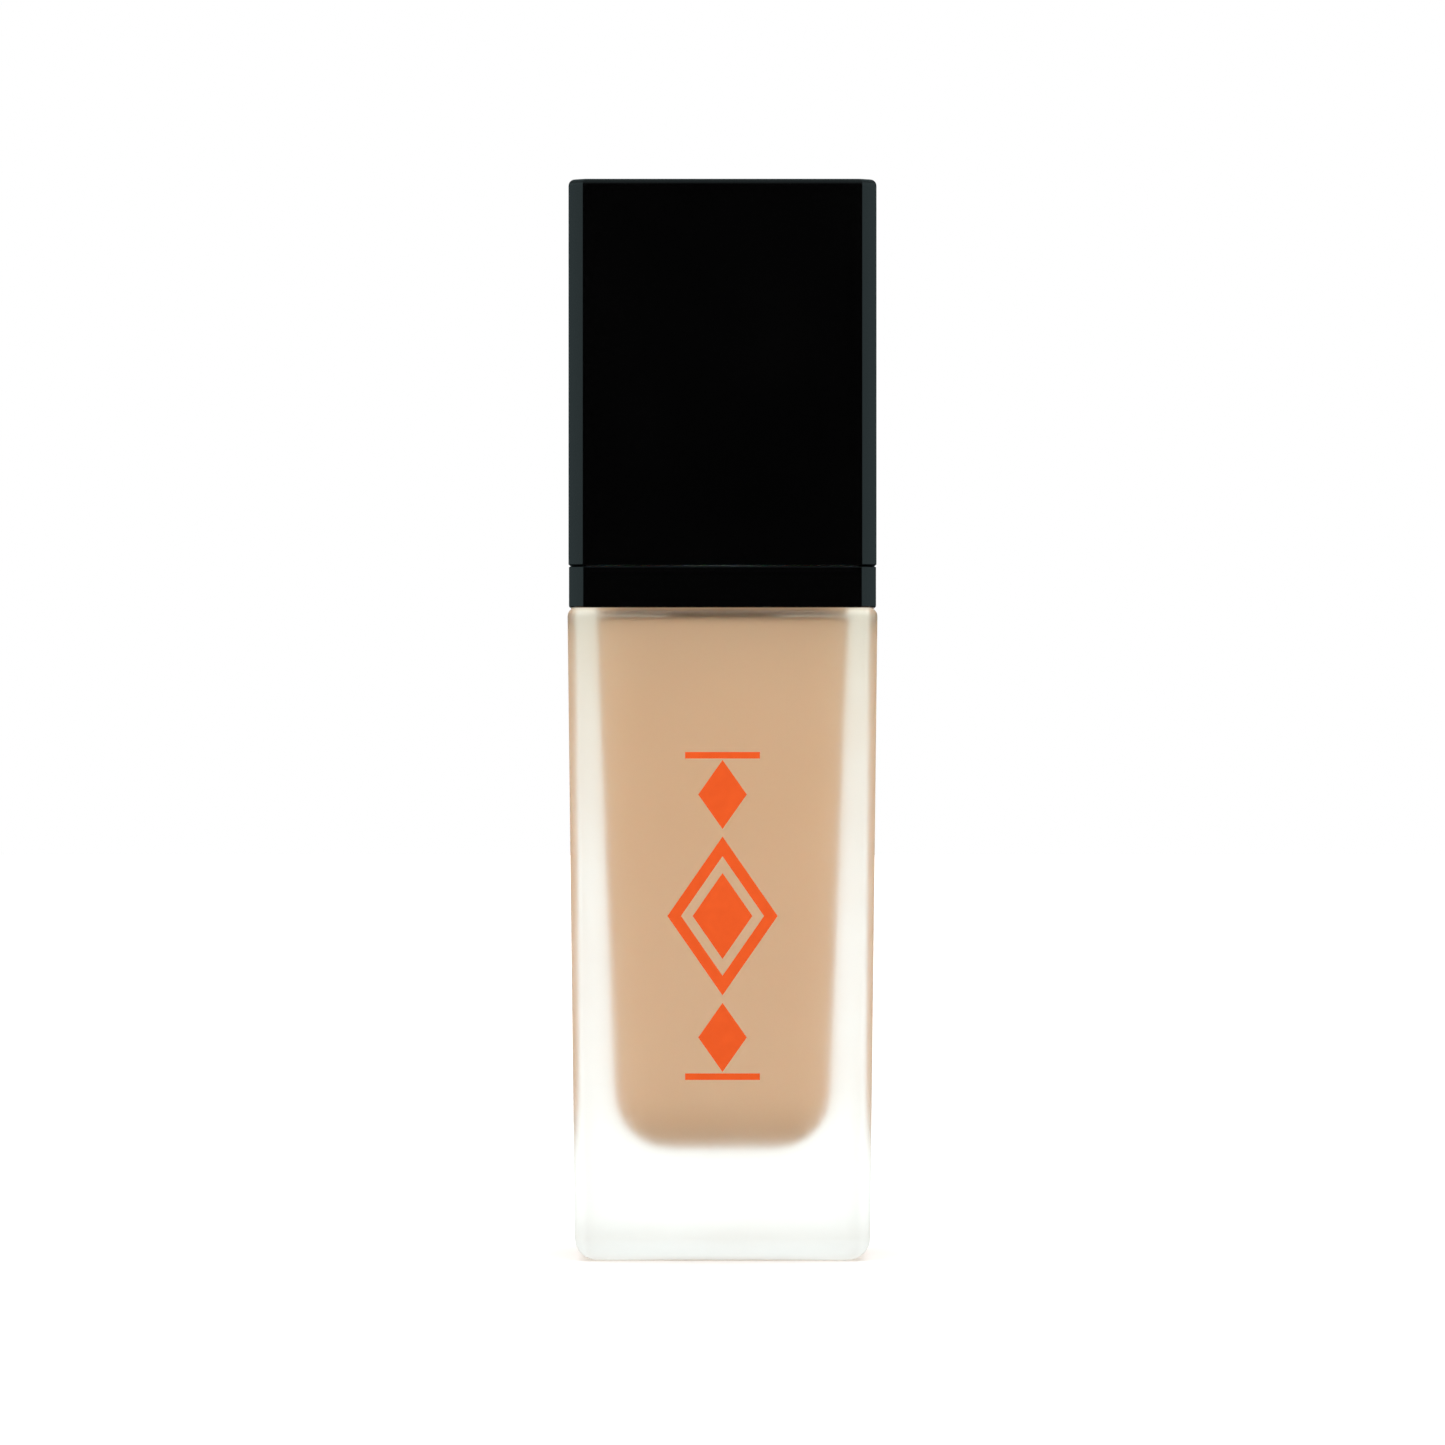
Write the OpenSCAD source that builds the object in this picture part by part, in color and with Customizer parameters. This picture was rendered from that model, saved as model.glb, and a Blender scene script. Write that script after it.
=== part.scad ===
// Foundation bottle: a square frosted-glass bottle with a heavy base, a square shoulder collar,
// a screw-on treatment pump and a tall square pull-off overcap.
// Frame: millimetres, +Z up, origin at the middle of the base, front face towards -Y.

/* [Glass body] */
// Width across the flats at the shoulder
body_w = 33.2; // [33:0.1:34]
// Width across the flats at the base
base_w = 31.6; // [31:0.1:33]
// Height from the base to the shoulder
body_h = 70; // [68:0.5:76]
// Radius of the four upright edges
corner_r = 1.3; // [1:0.1:4]
// Radius round the bottom edge
base_edge_r = 2.5; // [1:0.1:2.6]
// Radius round the shoulder edge
shoulder_edge_r = 0.9; // [0.3:0.1:1.4]
// Thickness of the heavy glass base
base_t = 11.8; // [9:0.1:14]
// Thickness of the glass shoulder
shoulder_t = 1; // [0.8:0.1:3]
// Depth of the recess under the base
punt_depth = 0.6; // [0.3:0.1:1.5]

/* [Cavity] */
// Width at the top of the cavity
cavity_top_w = 27.2; // [24:0.1:28]
// Width that the cavity's sides draw in to at its floor
cavity_floor_w = 22.9; // [20:0.1:25]
// Corner radius of the cavity seen from above
cavity_corner_r = 4; // [2:0.1:9]
// Radius between the cavity's sides and its floor
cavity_floor_r = 6.6; // [3:0.1:7]

/* [Neck] */
// Height of the neck above the shoulder
neck_h = 14.2; // [14:0.1:15]
// Diameter at the root of the neck thread
neck_d = 17.4; // [17:0.1:17.6]
// Diameter over the crest of the neck thread
thread_d = 19.5; // [19.3:0.05:19.55]
// Diameter of the neck bore
neck_bore_d = 11.8; // [11:0.1:12.5]
// Thread pitch
thread_pitch = 3.175; // [3:0.005:3.3]
// Number of thread turns
thread_turns = 1.5; // [1:0.25:1.5]

/* [Collar] */
// Width of the shoulder collar
collar_w = 32.9; // [32.5:0.1:33.2]
// Height of the collar's visible band
collar_h = 4.4; // [4:0.1:6]
// Height of the round boss that the overcap grips
boss_h = 6.6; // [5:0.1:8]

/* [Overcap] */
// Width across the flats
cap_w = 33; // [32.8:0.1:33.4]
// Height of the overcap
cap_h = 41.35; // [40.8:0.05:45]
// Thickness of its walls
cap_wall = 1.5; // [1.4:0.1:1.5]
// Thickness of its top
cap_top_t = 1.8; // [1.2:0.1:2.2]
// Flat cut on the upright edges of the overcap and the collar
edge_cut = 1.55; // [1:0.05:2]
// Radius round the top edge
cap_top_r = 0.7; // [0.3:0.1:1.2]
// Seam left open between the overcap and the collar
seam = 0.15; // [0.05:0.05:0.3]

/* [Pump] */
// Travel of the actuator
stroke = 4.5; // [4:0.1:4.6]
// Lost motion between the stem and the piston, which opens the inlet ports
port_travel = 0.6; // [0.4:0.1:0.7]
// Lift of the inlet ball
ball_travel = 0.8; // [0.5:0.1:0.8]
// Bore of the pump housing
cylinder_d = 7.6; // [7.4:0.1:7.8]
// Diameter of the stem
stem_d = 5.2; // [5:0.1:5.4]
// Diameter of the inlet ball
ball_d = 3; // [2.8:0.1:3.2]
// Outer diameter of the dip tube
dip_tube_d = 3.2; // [3:0.1:3.2]
// Bore of the dip tube
dip_tube_bore = 1.9; // [1.5:0.1:2.2]
// Diameter of the spring wire
spring_wire_d = 0.6; // [0.5:0.05:0.65]
// Number of spring coils
spring_turns = 8; // [6:1:9]
// Height of the actuator head
head_h = 13.2; // [12:0.1:14]
// Reach of the spout from the axis
spout_reach = 12; // [10.5:0.1:12.4]

/* [Hidden] */

$fn = 96;
eps = 0.01;            // overshoot of a cutting shape past the face that it cuts
root = 0.4;            // depth that a rib or neck is sunk into the wall that it grows from
slip = 0.05;           // gap between two parts that slide or turn on each other
press = 0.01;          // gap left where one part is pressed into another
arc_steps = 6;         // steps in a quarter round of an edge
corner_steps = 8;      // steps in a quarter round of an upright corner

// Heights up the bottle and the pump
neck_top = body_h + neck_h;
gasket_t = 1;
flange_z = neck_top + gasket_t;
flange_t = 1.2;
plate_z = flange_z + flange_t + slip;
plate_t = 1.4;
closure_top = plate_z + plate_t;
sleeve_top_t = 0.45;
turret_top = closure_top + 0.15;

// Recess under the base and the label in it
punt_half = base_w * 0.32;
punt_r = 2.5;
label_t = 0.1;
label_margin = 0.5;

// Cavity
cavity_top = body_h - shoulder_t;
cavity_top_r = 0.5;

// The neck bead that the collar is pressed over
bead_r = 9.85;
bead_h = 2.4;

// Closure and its thread
closure_r = 11.1;
sleeve_r = 11.7;
closure_bore_r = 10.05;
closure_bottom = body_h + 1.8;
turret_gap = 0.2;      // running gap round the turret
thread_start = body_h + 6.6;
thread_gap = 1.3;      // height of the neck thread's middle over the closure thread's middle

// Collar and its boss
collar_top = body_h + collar_h;
collar_wall = 1.4;
collar_plate_t = 1.2;
boss_r = 13.55;
boss_wall = 1.25;
boss_top = collar_top + boss_h;

// Overcap
cap_bottom = collar_top + seam;
cap_top = cap_bottom + cap_h;
cap_inner_half = cap_w / 2 - cap_wall;
cap_inner_cut = edge_cut * 0.6;
liner_gap = 0.1;
liner_r = cap_inner_half - liner_gap;
liner_wall = 1.1;
liner_top = cap_top - cap_top_t - slip;

// Stem guide
guide_r = 4.38;
guide_bottom = neck_top - 1.75;
guide_collar_z = turret_top + slip;
guide_collar_t = 1;
guide_collar_r = 6.2;
guide_nose_r = 5.2;
guide_nose_h = 1.95;
guide_top = guide_collar_z + guide_collar_t + guide_nose_h;

// Pump works, from the stem guide downwards
piston_h = 3.4;
piston_top = guide_bottom - slip;
piston_bottom = piston_top - piston_h;
stem_bottom = piston_top + port_travel + slip;
rod_r = 1.7;
rod_foot_r = 2.9;
rod_foot_t = 1.4;
stem_bore_r = 1.5;
spring_h = 11.4;
spring_top = piston_bottom - rod_foot_t;
spring_mean_r = 2.55;
spring_end_rise = 0.62;
ledge_z = spring_top - spring_h;
chamber_r = 2;
chamber_h = 4.8;
seat_z = ledge_z - chamber_h;
seat_h = 1.2;
inlet_r = 0.9;
inlet_h = 1;
socket_top = seat_z - inlet_h;
socket_h = 6.9;
housing_bottom = socket_top - socket_h;
housing_r = 4.8;
housing_low_r = 2.7;
turret_r = 5.5;

// The ball rests on the cone of the seat
seat_len = norm([chamber_r - inlet_r, seat_h]);
ball_z = seat_z + (ball_d / 2 + press - inlet_r * seat_h / seat_len) * seat_len / (chamber_r - inlet_r);

// Actuator
press_gap = 0.2;       // clearance left under the head when it is fully pressed
head_bottom = closure_top + sleeve_top_t + stroke + press_gap;
head_top = head_bottom + head_h;
head_r = 7.9;
head_top_r = 7.6;
head_wall = 1.1;
hub_r = 3.9;
hub_bottom = guide_top + stroke + press_gap;
stem_top = head_top - 5.7;
spout_z = head_top - 4;
spout_root_r = 3.2;
spout_tip_r = 2.1;
spout_bore_r = 0.9;
pocket_depth = 1.8;
pocket_r = 1.5;

// Front print, in the plane of the drafted front face
draft = atan((body_w - base_w) / 2 / body_h);
print_t = 0.06;
print_gap = 0.002;
print_z = 37;          // height of the middle of the print

// Half the width of the glass body, or of its cavity, at a height
function body_half(z) = (base_w + (body_w - base_w) * z / body_h) / 2;
function cavity_half(z) =
    (cavity_floor_w + (cavity_top_w - cavity_floor_w) * (z - base_t) / (cavity_top - base_t)) / 2;

// Turns a point about Z
function turned(p, a) = [p.x * cos(a) - p.y * sin(a), p.x * sin(a) + p.y * cos(a)];

// Outlines of a square with round corners, and of a square with cut corners
function round_square(half, r) = [
    for (q = [0:3]) for (s = [0:corner_steps])
        let (a = 90 * s / corner_steps)
        turned([half - r + r * cos(a), half - r + r * sin(a)], 90 * q)
];
function cut_square(half, cut) = [
    for (q = [0:3]) for (p = [[half, half - cut], [half - cut, half]]) turned(p, 90 * q)
];

// A ring is an outline lifted to a height
function ring(outline, z) = [for (p = outline) [p.x, p.y, z]];

// Corner radius of a ring that is drawn in by the roundness of an edge. It keeps a third of its size.
function drawn_in(r, in) = max(r / 3, r - in);

// Rings of the glass body and of the cavity at a height, drawn in by the roundness of an edge
function body_ring(z, in) = ring(round_square(body_half(z) - in, drawn_in(corner_r, in)), z);
function cavity_ring(z, in) = ring(round_square(cavity_half(z) - in, drawn_in(cavity_corner_r, in)), z);

// Heights and insets of a quarter round that starts flat at the bottom, and of one that ends flat at the top
function foot_round(z, r) = [
    for (s = [0:arc_steps]) let (a = 90 * s / arc_steps) [z + r * (1 - cos(a)), r * (1 - sin(a))]
];
function head_round(z, r) = [
    for (s = [0:arc_steps]) let (a = 90 * s / arc_steps) [z - r * (1 - sin(a)), r * (1 - cos(a))]
];

// A closed solid through a list of rings that all have the same number of points
module skin(rings) {
    n = len(rings[0]);
    last = len(rings) - 1;
    points = [for (r = rings) each r];
    sides = [
        for (i = [0:last - 1]) for (j = [0:n - 1])
            let (k = (j + 1) % n)
            [i * n + j, (i + 1) * n + j, (i + 1) * n + k, i * n + k]
    ];
    ends = [[for (j = [0:n - 1]) j], [for (j = [n - 1:-1:0]) last * n + j]];
    polyhedron(points, concat(sides, ends));
}

// The cavity: a rounded floor, drafted sides and a small round under the shoulder
module cavity() {
    skin([
        for (p = foot_round(base_t, cavity_floor_r)) cavity_ring(p[0], p[1]),
        for (p = head_round(cavity_top, cavity_top_r)) cavity_ring(p[0], p[1])
    ]);
}

// A right-handed thread rib. Its section is a trapezium from root_r to crest_r, and both ends fade out.
module thread_rib(root_r, crest_r, root_half, crest_half, z_start) {
    steps = 24 * thread_turns;
    fade_steps = 4;
    fade_min = 0.15;
    skin([
        for (s = [0:steps])
            let (a = 360 * thread_turns * s / steps,
                 z = z_start + thread_pitch * a / 360,
                 full = min(1, (fade_min + s) / fade_steps, (fade_min + steps - s) / fade_steps),
                 tip_r = root_r + (crest_r - root_r) * full,
                 outward = crest_r > root_r,
                 in_r = min(root_r, tip_r),
                 out_r = max(root_r, tip_r),
                 in_half = outward ? root_half : crest_half * full,
                 out_half = outward ? crest_half * full : root_half)
            [
                [in_r * cos(a), in_r * sin(a), z - in_half],
                [in_r * cos(a), in_r * sin(a), z + in_half],
                [out_r * cos(a), out_r * sin(a), z + out_half],
                [out_r * cos(a), out_r * sin(a), z - out_half]
            ]
    ]);
}

// A plain cylinder from one height to another
module rod(r, z0, z1) {
    translate([0, 0, z0]) cylinder(r = r, h = z1 - z0);
}

// A tube from one height to another
module tube(outer_r, bore_r, z0, z1) {
    difference() {
        rod(outer_r, z0, z1);
        rod(bore_r, z0 - eps, z1 + eps);
    }
}

// Lays its children's +Z along the spout, which points to the front
module along_spout() {
    translate([0, 0, spout_z]) rotate([90, 0, 0]) children();
}

module glass_bottle() color([0.93, 0.93, 0.89, 0.5]) {
    difference() {
        union() {
            skin([
                for (p = foot_round(0, base_edge_r)) body_ring(p[0], p[1]),
                for (p = head_round(body_h, shoulder_edge_r)) body_ring(p[0], p[1])
            ]);
            rod(bead_r, body_h - root, body_h + bead_h);
            rod(neck_d / 2, body_h - root, neck_top);
            thread_rib(neck_d / 2 - 0.2, thread_d / 2, 1.1, 0.45, thread_start);
        }
        cavity();
        rod(neck_bore_d / 2, cavity_top - 1, neck_top + eps);
        translate([0, 0, -eps]) linear_extrude(punt_depth + eps) polygon(round_square(punt_half, punt_r));
    }
}

// The liquid fills the cavity and leaves a hole for the dip tube and the pump housing
module foundation_fill() color("burlywood") {
    clear = 0.2;
    difference() {
        cavity();
        rod(dip_tube_d / 2 + clear, base_t + 1, body_h);
        rod(housing_low_r + clear, housing_bottom - clear, body_h);
        rod(housing_r + clear, seat_z, body_h);
    }
}

// Outline of a lozenge, and of a lozenge frame
module lozenge(w, h) {
    polygon([[w / 2, 0], [0, h / 2], [-w / 2, 0], [0, -h / 2]]);
}

module lozenge_frame(w, h, line) {
    diagonal = norm([w, h]);
    difference() {
        lozenge(w, h);
        lozenge(w - 2 * line * diagonal / h, h - 2 * line * diagonal / w);
    }
}

// A plain lozenge ornament printed on the front face
module front_print() color("orangered") {
    translate([0, -body_half(print_z) - print_gap, print_z])
        rotate([90 + draft, 0, 0]) linear_extrude(print_t) {
            lozenge_frame(11.8, 17, 1.2);
            lozenge(6.4, 9.2);
            for (side = [-1, 1]) {
                translate([0, side * 13]) lozenge(5.2, 7.4);
                translate([0, side * 17.2]) square([8, 0.7], center = true);
            }
        }
}

// Blank shade label stuck to the roof of the recess under the base
module base_label() color("white") {
    translate([0, 0, punt_depth - label_t]) linear_extrude(label_t)
        polygon(round_square(punt_half - label_margin, punt_r - label_margin));
}

// Square band with cut corners, an open underside with ribs, and the round boss for the overcap
module shoulder_collar() color([0.03, 0.03, 0.035]) {
    half = collar_w / 2;
    inner_half = half - collar_wall;
    inner_cut = edge_cut * 0.7;
    edge = 0.3;
    rib_t = 1;
    rib_start = boss_r - root;
    rib_end = (2 * inner_half - inner_cut) / sqrt(2) + root;
    difference() {
        union() {
            difference() {
                skin([
                    ring(cut_square(half - edge, edge_cut), body_h),
                    ring(cut_square(half, edge_cut), body_h + edge),
                    ring(cut_square(half, edge_cut), collar_top - edge),
                    ring(cut_square(half - edge, edge_cut), collar_top)
                ]);
                translate([0, 0, body_h - eps]) linear_extrude(collar_h - collar_plate_t + eps)
                    polygon(cut_square(inner_half, inner_cut));
            }
            rod(boss_r, body_h, boss_top);
            for (a = [45:90:315]) rotate(a)
                translate([rib_start, -rib_t / 2, body_h + edge])
                    cube([rib_end - rib_start, rib_t, collar_h - 2 * edge]);
        }
        rod(bead_r + press, body_h - eps, collar_top);
        rod(boss_r - boss_wall, body_h + collar_plate_t, boss_top + eps);
    }
}

module overcap_shell() color([0.02, 0.02, 0.025]) {
    half = cap_w / 2;
    edge = 0.15;
    difference() {
        skin([
            ring(cut_square(half - edge, edge_cut), cap_bottom),
            ring(cut_square(half, edge_cut), cap_bottom + edge),
            for (p = head_round(cap_top, cap_top_r)) ring(cut_square(half - p[1], edge_cut), p[0])
        ]);
        translate([0, 0, cap_bottom - eps]) linear_extrude(cap_h - cap_top_t + eps)
            polygon(cut_square(cap_inner_half, cap_inner_cut));
    }
}

// Round inner cap with grip ribs at its mouth and fins that reach into the shell's corners
module overcap_liner() color("whitesmoke") {
    bore_r = liner_r - liner_wall;
    fin_t = 1;
    fin_start = liner_r - root;
    fin_end = (2 * cap_inner_half - cap_inner_cut) / sqrt(2) - liner_gap;
    fin_bottom = cap_bottom + 2;
    grip_count = 12;
    grip_t = 0.7;
    grip_start = boss_r + slip;
    grip_bottom = collar_top + 0.4;
    difference() {
        union() {
            rod(liner_r, collar_top, liner_top);
            for (a = [45:90:315]) rotate(a)
                translate([fin_start, -fin_t / 2, fin_bottom])
                    cube([fin_end - fin_start, fin_t, liner_top - fin_bottom]);
        }
        rod(bore_r, collar_top - eps, liner_top - liner_wall);
    }
    for (i = [0:grip_count - 1]) rotate(360 / grip_count * (i + 0.5))
        translate([grip_start, -grip_t / 2, grip_bottom])
            cube([bore_r + root - grip_start, grip_t, boss_top - 0.8 - grip_bottom]);
}

// Screw closure with a thread inside and a hole for the turret
module pump_closure() color("white") {
    difference() {
        rod(closure_r, closure_bottom, closure_top);
        rod(closure_bore_r, closure_bottom - eps, plate_z);
        rod(turret_r + turret_gap, plate_z - eps, closure_top + eps);
    }
    thread_rib(closure_bore_r + 0.2, thread_d / 2 - 0.8, 0.8, 0.35, thread_start - thread_gap);
}

// Dark sleeve pressed over the closure
module closure_sleeve() color([0.03, 0.03, 0.035]) {
    rim = 0.4;
    hole_r = 7.2;
    sleeve_top = closure_top + sleeve_top_t;
    difference() {
        rotate_extrude() polygon([
            [0, closure_bottom],
            [sleeve_r, closure_bottom],
            [sleeve_r, sleeve_top - rim],
            [sleeve_r - rim, sleeve_top],
            [0, sleeve_top]
        ]);
        rod(closure_r + press, closure_bottom - eps, closure_top + press);
        rod(hole_r, closure_top - eps, sleeve_top + eps);
    }
}

module neck_gasket() color("gainsboro") {
    tube(neck_d / 2 + 0.2, housing_r + 0.2, neck_top, neck_top + gasket_t);
}

// Pump cylinder: flange and turret above, ball valve and dip-tube socket below
module pump_housing() color("whitesmoke") {
    taper_z = seat_z + 0.8;
    taper_h = 2;
    flange_r = neck_d / 2 + 0.5;
    vent_r = 0.4;
    vent_z = piston_bottom + piston_h / 2;
    stop_in = 1.2;
    stop_t = 0.8;
    stop_h = 1;
    difference() {
        union() {
            rod(housing_low_r, housing_bottom, taper_z + taper_h);
            translate([0, 0, taper_z]) cylinder(r1 = housing_low_r, r2 = housing_r, h = taper_h);
            rod(housing_r, taper_z + taper_h, flange_z + eps);
            rod(flange_r, flange_z, flange_z + flange_t);
            rod(turret_r, flange_z, turret_top);
        }
        rod(cylinder_d / 2, ledge_z, piston_top + eps);
        rod(guide_r + press, piston_top, turret_top + eps);
        rod(chamber_r, seat_z + seat_h, ledge_z + eps);
        translate([0, 0, seat_z]) cylinder(r1 = inlet_r, r2 = chamber_r, h = seat_h);
        rod(inlet_r, socket_top - eps, seat_z + eps);
        rod(dip_tube_d / 2 + press, housing_bottom - eps, socket_top);
        translate([0, 0, vent_z]) rotate([0, 90, 0]) cylinder(r = vent_r, h = housing_r + 1);
    }
    for (a = [0:120:240]) rotate(a)
        translate([stop_in, -stop_t / 2, ledge_z - stop_h])
            cube([chamber_r + root - stop_in, stop_t, stop_h]);
}

// Plug that closes the housing, guides the stem and holds the closure on
module stem_guide() color("white") {
    edge = 0.4;
    difference() {
        union() {
            rod(guide_r, guide_bottom, guide_collar_z + eps);
            rod(guide_collar_r, guide_collar_z, guide_collar_z + guide_collar_t);
            rod(guide_nose_r, guide_collar_z, guide_top - edge);
            translate([0, 0, guide_top - edge - eps])
                cylinder(r1 = guide_nose_r, r2 = guide_nose_r - edge, h = edge + eps);
        }
        rod(stem_d / 2 + 0.08, guide_bottom - eps, guide_top + eps);
    }
}

// Suction tube, cut on the slant at its foot
module dip_tube() color([0.9, 0.9, 0.88]) {
    foot = base_t + 1.3;
    slant = 30;
    cut = [10, 10, 8];
    difference() {
        tube(dip_tube_d / 2, dip_tube_bore / 2, foot, socket_top - press);
        translate([0, 0, foot]) rotate([0, -slant, 0]) translate([-cut.x / 2, -cut.y / 2, -cut.z]) cube(cut);
    }
}

// Height of the spring wire's middle over its first coil. The first and last turns lie almost flat.
spring_rise = spring_h - spring_wire_d;
function coil_z(turn) =
    turn < 1 ? spring_end_rise * turn
    : turn > spring_turns - 1 ? spring_rise - spring_end_rise * (spring_turns - turn)
    : spring_end_rise + (spring_rise - 2 * spring_end_rise) * (turn - 1) / (spring_turns - 2);

// Compression spring with closed end coils
module return_spring() color("silver") {
    wire_r = spring_wire_d / 2;
    steps_per_turn = 16;
    skin([
        for (s = [0:steps_per_turn * spring_turns])
            let (a = 360 * s / steps_per_turn, z = ledge_z + wire_r + coil_z(s / steps_per_turn))
            [for (p = [0:45:315])
                let (r = spring_mean_r - wire_r * cos(p))
                [r * cos(a), r * sin(a), z + wire_r * sin(p)]]
    ]);
}

module inlet_ball() color("silver") {
    translate([0, 0, ball_z]) sphere(r = ball_d / 2);
}

module pump_stem() color("white") {
    tube(stem_d / 2, stem_bore_r, stem_bottom, stem_top);
}

// Valve rod: a spigot in the stem, a fluted neck through the piston, a foot for the piston and a spring pin
module piston_rod() color("ghostwhite") {
    spigot_h = 7;
    pin_r = 2.05;
    pin_h = 1.6;
    flute_r = 0.6;
    difference() {
        union() {
            rod(stem_bore_r - press, stem_bottom - root, stem_bottom + spigot_h);
            rod(rod_r, piston_bottom - eps, stem_bottom - press);
            rod(rod_foot_r, spring_top, piston_bottom);
            rod(pin_r, spring_top - pin_h, spring_top + eps);
        }
        for (a = [0:90:270]) rotate(a) translate([rod_r, 0, piston_bottom + 0.1])
            cylinder(r = flute_r, h = stem_bottom + spigot_h - piston_bottom, $fn = 24);
    }
}

// Piston with a sealing lip at each end and a groove behind the lower lip
module piston() color("azure") {
    r = cylinder_d / 2 - 0.02;
    bore_r = rod_r + slip;
    waist = 0.35;
    lip_h = 0.7;
    edge_in = 0.15;
    edge_h = 0.2;
    groove_in_r = 2.95;
    groove_out_r = 3.4;
    difference() {
        rotate_extrude() polygon([
            [bore_r, piston_bottom],
            [r - edge_in, piston_bottom],
            [r, piston_bottom + edge_h],
            [r, piston_bottom + lip_h],
            [r - waist, piston_bottom + lip_h + waist],
            [r - waist, piston_top - lip_h - waist],
            [r, piston_top - lip_h],
            [r, piston_top - edge_h],
            [r - edge_in, piston_top],
            [bore_r, piston_top]
        ]);
        tube(groove_out_r, groove_in_r, piston_bottom - eps, piston_bottom + lip_h + edge_h);
    }
}

// Push button with a dished top, a spout to the front and a hub for the stem
module actuator_head() color([0.03, 0.03, 0.035]) {
    edge = 0.3;
    edge_r = 1.2;
    rim_r = head_top_r - edge_r;
    dish = 0.8;
    dish_steps = 6;
    roof = head_top - 2.2;
    passage_r = 1;
    difference() {
        union() {
            difference() {
                union() {
                    rotate_extrude() polygon([
                        [0, head_bottom],
                        [head_r - edge, head_bottom],
                        [head_r, head_bottom + edge],
                        for (p = head_round(head_top, edge_r)) [head_top_r - p[1], p[0]],
                        for (s = [dish_steps - 1:-1:0])
                            let (r = rim_r * s / dish_steps)
                            [r, head_top - dish * (1 - pow(r / rim_r, 2))]
                    ]);
                    along_spout() cylinder(r1 = spout_root_r, r2 = spout_tip_r, h = spout_reach);
                }
                rod(head_top_r - head_wall, head_bottom - eps, roof);
            }
            rod(hub_r, hub_bottom, roof + eps);
            along_spout() cylinder(r = spout_tip_r - 0.2, h = spout_reach - 1);
        }
        rod(stem_d / 2 + 0.02, hub_bottom - eps, stem_top + slip);
        rod(passage_r, stem_top, spout_z);
        along_spout() {
            cylinder(r = spout_bore_r, h = spout_reach);
            translate([0, 0, spout_reach - pocket_depth]) cylinder(r = pocket_r, h = pocket_depth + eps);
        }
    }
}

// Orifice pressed into the end of the spout
module nozzle_insert() color("black") {
    lip_t = 0.3;
    lip_r = 1.85;
    orifice_r = 0.5;
    along_spout() difference() {
        union() {
            translate([0, 0, spout_reach - pocket_depth + slip])
                cylinder(r = pocket_r - press, h = pocket_depth - slip + eps);
            translate([0, 0, spout_reach]) cylinder(r1 = lip_r, r2 = lip_r - 0.2, h = lip_t);
        }
        translate([0, 0, spout_reach - pocket_depth]) cylinder(r = orifice_r, h = pocket_depth + lip_t + eps);
    }
}

glass_bottle();
foundation_fill();
front_print();
base_label();
shoulder_collar();
overcap_shell();
overcap_liner();
pump_closure();
closure_sleeve();
neck_gasket();
pump_housing();
stem_guide();
dip_tube();
return_spring();
inlet_ball();
pump_stem();
piston_rod();
piston();
actuator_head();
nozzle_insert();
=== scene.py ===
"""Looks of the foundation bottle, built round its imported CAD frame.

Lengths are in metres, +Z is up, and the front of the bottle faces -Y.
"""

import math

import bmesh
import bpy
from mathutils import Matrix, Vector


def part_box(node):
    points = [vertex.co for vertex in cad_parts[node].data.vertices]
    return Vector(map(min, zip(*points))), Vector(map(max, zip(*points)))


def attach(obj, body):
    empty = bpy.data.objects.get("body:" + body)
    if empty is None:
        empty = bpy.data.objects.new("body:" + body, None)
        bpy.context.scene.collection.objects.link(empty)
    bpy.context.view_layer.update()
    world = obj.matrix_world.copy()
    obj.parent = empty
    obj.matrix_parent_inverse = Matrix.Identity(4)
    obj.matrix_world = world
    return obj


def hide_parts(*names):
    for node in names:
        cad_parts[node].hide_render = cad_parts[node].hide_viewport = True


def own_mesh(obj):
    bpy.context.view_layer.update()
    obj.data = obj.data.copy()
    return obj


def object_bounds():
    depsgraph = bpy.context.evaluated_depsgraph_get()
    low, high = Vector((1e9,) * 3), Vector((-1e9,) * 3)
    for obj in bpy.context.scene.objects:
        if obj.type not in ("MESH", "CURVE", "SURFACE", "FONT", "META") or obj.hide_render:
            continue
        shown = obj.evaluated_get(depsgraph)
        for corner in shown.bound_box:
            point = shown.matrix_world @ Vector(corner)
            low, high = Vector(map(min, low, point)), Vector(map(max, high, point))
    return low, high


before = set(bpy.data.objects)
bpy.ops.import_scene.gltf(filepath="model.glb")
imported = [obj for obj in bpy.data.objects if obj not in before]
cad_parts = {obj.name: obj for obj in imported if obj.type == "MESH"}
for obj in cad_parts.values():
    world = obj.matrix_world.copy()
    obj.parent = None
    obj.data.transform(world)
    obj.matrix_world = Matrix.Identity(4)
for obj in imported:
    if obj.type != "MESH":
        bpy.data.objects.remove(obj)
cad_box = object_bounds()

MM = 0.001
FLAT_STEPS = 24        # points along each straight side of a ring
CORNER_STEPS = 10      # points round each corner of a ring
RING = 4 * (FLAT_STEPS + CORNER_STEPS)
EDGE_STEPS = 5         # steps in the round of an edge
LIP_SUPPORT = 0.6      # distance of the loop that holds a face flat beside a round, in radii
LIP_ROOM = 2.5         # least side that takes such a loop, in lengths that the round takes off the side
ON_AXIS = 1e-9         # radius under which a corner of a turned profile lies on the axis
SMOOTH_ANGLE = math.radians(32)


# ---------------------------------------------------------------- outlines

def on_all_sides(quarter):
    """A quarter of an outline, repeated at each quarter turn."""
    turns = [lambda x, y: (x, y), lambda x, y: (-y, x), lambda x, y: (-x, -y), lambda x, y: (y, -x)]
    return [turn(x, y) for turn in turns for x, y in quarter]


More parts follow.
